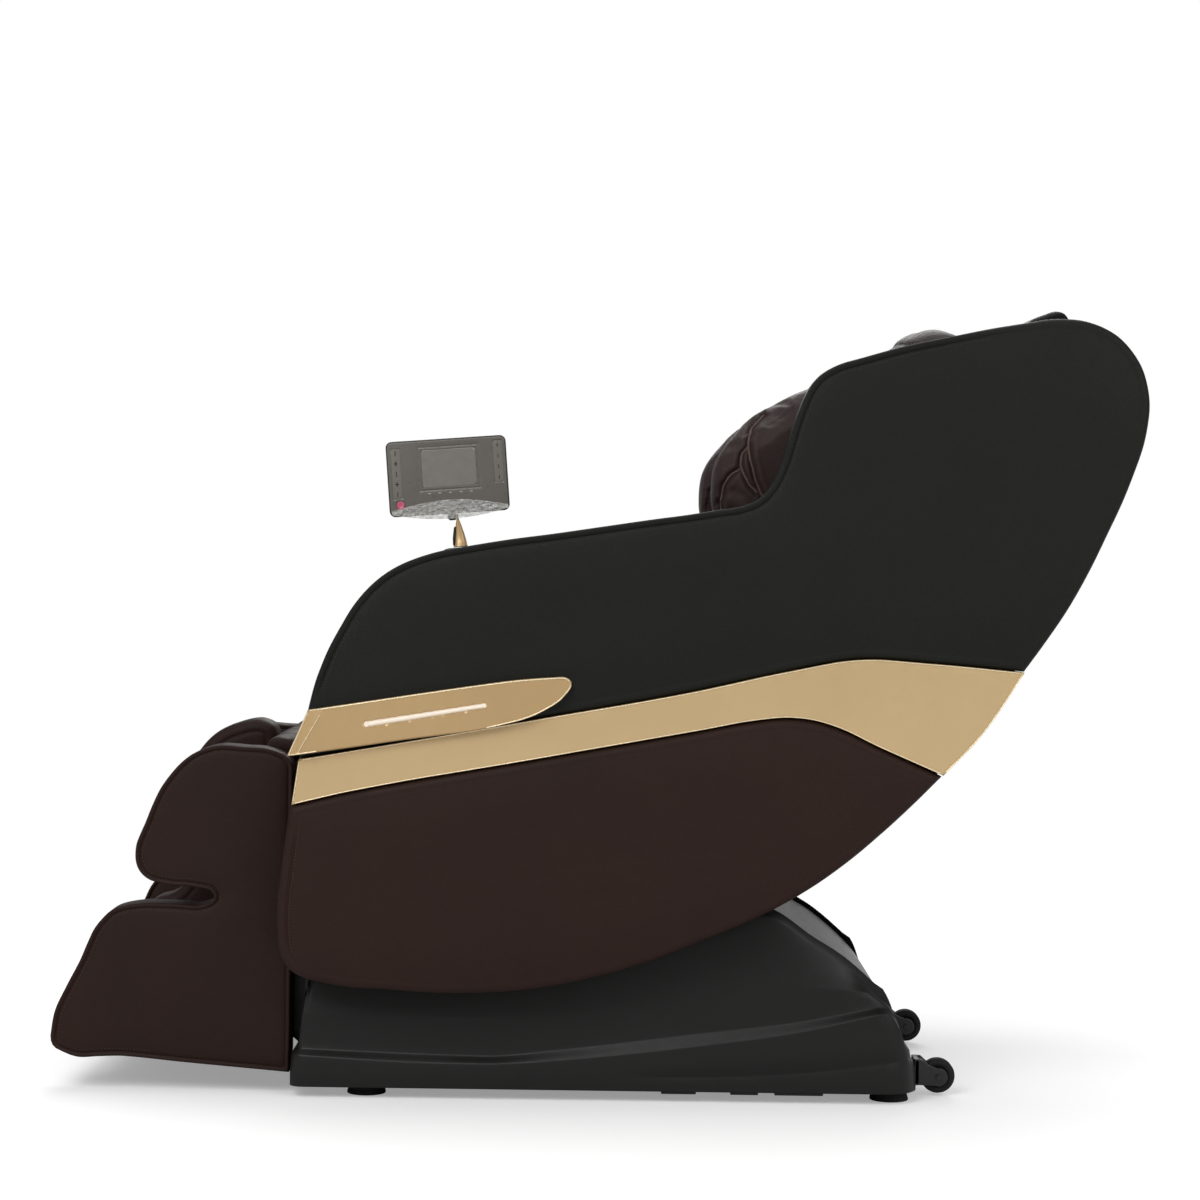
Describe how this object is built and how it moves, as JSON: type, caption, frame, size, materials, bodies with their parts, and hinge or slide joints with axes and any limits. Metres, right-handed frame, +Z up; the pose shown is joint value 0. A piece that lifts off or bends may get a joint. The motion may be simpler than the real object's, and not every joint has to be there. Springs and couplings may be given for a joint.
{
  "type": "massage chair",
  "caption": "Full-body massage chair with a tilting padded shell, gold side bands, brown leather leg rest, and a touch tablet on a stalk.",
  "frame": {"origin": "on the floor, under the middle of the chair's bounding box", "axes": "+X from the toes towards the head, +Y to the sitter's right, +Z up"},
  "size_m": [1.5503, 0.7962, 1.1522],
  "materials": {
    "black_leather": "soft grain",
    "brown_leather": "soft grain",
    "gold_paint": "satin",
    "light_bar": "translucent",
    "grey_plastic": "fine texture",
    "painted_steel": "semi-gloss",
    "zinc_steel": "satin",
    "rubber": "matte",
    "tablet_plastic": "gloss",
    "screen_glass": "gloss",
    "red_key": "gloss",
    "black_plastic": "fine texture"
  },
  "bodies": {
    "base": {"base_frame": "painted_steel", "base_cover_left": "grey_plastic", "base_cover_right": "grey_plastic", "base_deck": "black_plastic", "base_front_panel": "grey_plastic", "foot_front_left": "rubber", "foot_front_right": "rubber", "foot_rear_left": "rubber", "foot_rear_right": "rubber", "wheel_bracket_left": "black_plastic", "wheel_bracket_right": "black_plastic", "control_box": "black_plastic", "air_pump": "zinc_steel", "power_inlet": "black_plastic", "tilt_shaft": "zinc_steel"},
    "cradle": {"armrest_trim_left": "gold_paint", "armrest_trim_right": "gold_paint", "back_cover": "black_leather", "back_cushion": "brown_leather", "cradle_frame": "painted_steel", "gold_band_left": "gold_paint", "gold_band_right": "gold_paint", "head_pillow": "brown_leather", "head_roll": "black_leather", "light_bar_left": "light_bar", "light_bar_right": "light_bar", "liner_left": "black_leather", "liner_right": "black_leather", "lower_panel_left": "brown_leather", "lower_panel_right": "brown_leather", "massage_track": "zinc_steel", "seat_cushion": "brown_leather", "shoulder_pad_left": "brown_leather", "shoulder_pad_right": "brown_leather", "side_panel_left": "black_leather", "side_panel_right": "black_leather", "tablet_mount": "black_plastic", "top_cover": "black_leather"},
    "tilt_motor": {"tilt_motor": "black_plastic"},
    "tilt_rod": {"tilt_rod": "zinc_steel"},
    "wheel_left": {"wheel_left": "rubber"},
    "wheel_right": {"wheel_right": "rubber"},
    "power_switch": {"power_switch": "black_plastic"},
    "massage_carriage": {"massage_carriage": "black_plastic"},
    "kneading_roller_left": {"kneading_roller_left": "rubber"},
    "kneading_roller_right": {"kneading_roller_right": "rubber"},
    "legrest_frame": {"legrest_frame": "painted_steel"},
    "legrest_motor": {"legrest_motor": "black_plastic"},
    "legrest_rod": {"legrest_rod": "zinc_steel"},
    "legrest": {"legrest_wall_left": "brown_leather", "legrest_wall_right": "brown_leather", "legrest_shell": "black_plastic", "legrest_divider": "brown_leather", "calf_pad_left": "brown_leather", "calf_pad_right": "brown_leather", "sole_pad": "brown_leather"},
    "tablet_stalk": {"tablet_stalk": "gold_paint"},
    "tablet": {"tablet_case": "tablet_plastic", "tablet_screen": "screen_glass"},
    "power_key": {"power_key": "red_key"}
  },
  "joints": [
    {"name": "chair_tilt", "type": "hinge", "parent": "base", "child": "cradle", "pos_m": [0.02, 0, 0.27], "axis": [0, 1, 0], "range_deg": [0, 25]},
    {"name": "tilt_motor_swing", "type": "hinge", "parent": "base", "child": "tilt_motor", "pos_m": [-0.3, 0, 0.075], "axis": [0, 1, 0], "range_deg": [0, 0.01]},
    {"name": "tilt_rod_slide", "type": "slide", "parent": "tilt_motor", "child": "tilt_rod", "axis": [0.4813, 0, 0.8766], "range_m": [0, 0.08451]},
    {"name": "legrest_swing", "type": "hinge", "parent": "cradle", "child": "legrest_frame", "pos_m": [-0.415, 0, 0.47], "axis": [0, 1, 0], "range_deg": [0, 80]},
    {"name": "legrest_motor_swing", "type": "hinge", "parent": "cradle", "child": "legrest_motor", "pos_m": [-0.2, 0, 0.38], "axis": [0, 1, 0], "range_deg": [0, 5.4]},
    {"name": "legrest_rod_slide", "type": "slide", "parent": "legrest_motor", "child": "legrest_rod", "axis": [-0.9751, 0, 0.2216], "range_m": [0, 0.04923]},
    {"name": "legrest_extend", "type": "slide", "parent": "legrest_frame", "child": "legrest", "axis": [0, 0, -1], "range_m": [0, 0.03]},
    {"name": "carriage_slide", "type": "slide", "parent": "cradle", "child": "massage_carriage", "axis": [0.5961, 0, 0.8029], "range_m": [-0.18, 0.18]},
    {"name": "kneading_roller_left_spin", "type": "hinge", "parent": "massage_carriage", "child": "kneading_roller_left", "pos_m": [0.40485, -0.0745, 0.73464], "axis": [0, 1, 0], "continuous": true},
    {"name": "kneading_roller_right_spin", "type": "hinge", "parent": "massage_carriage", "child": "kneading_roller_right", "pos_m": [0.40485, 0.0745, 0.73464], "axis": [0, 1, 0], "continuous": true},
    {"name": "wheel_left_spin", "type": "hinge", "parent": "base", "child": "wheel_left", "pos_m": [0.508, -0.215, 0.029], "axis": [0, 1, 0], "continuous": true},
    {"name": "wheel_right_spin", "type": "hinge", "parent": "base", "child": "wheel_right", "pos_m": [0.508, 0.215, 0.029], "axis": [0, 1, 0], "continuous": true},
    {"name": "power_switch_rock", "type": "hinge", "parent": "base", "child": "power_switch", "pos_m": [0.468, 0.088, 0.045], "axis": [0, 1, 0], "range_deg": [0, 14]},
    {"name": "tablet_swivel", "type": "hinge", "parent": "cradle", "child": "tablet_stalk", "pos_m": [-0.22918, 0.31745, 0.78995], "axis": [-0.0785, 0, 0.9969], "range_deg": [-90, 60]},
    {"name": "tablet_tilt", "type": "hinge", "parent": "tablet_stalk", "child": "tablet", "pos_m": [-0.23326, 0.31745, 0.84179], "axis": [0.9969, 0, 0.0785], "range_deg": [-15, 30]},
    {"name": "power_key_press", "type": "slide", "parent": "tablet", "child": "power_key", "axis": [0, 1, 0], "range_m": [0, 0.0012], "stiffness_N_per_m": 400}
  ],
  "couplings": [
    {"joint": "tilt_motor_swing", "follows": "chair_tilt", "ratio": 0.00018},
    {"joint": "tilt_rod_slide", "follows": "chair_tilt", "m_per_rad": 0.18781},
    {"joint": "legrest_motor_swing", "follows": "legrest_swing", "ratio": 0.06547},
    {"joint": "legrest_rod_slide", "follows": "legrest_swing", "m_per_rad": 0.03416}
  ]
}
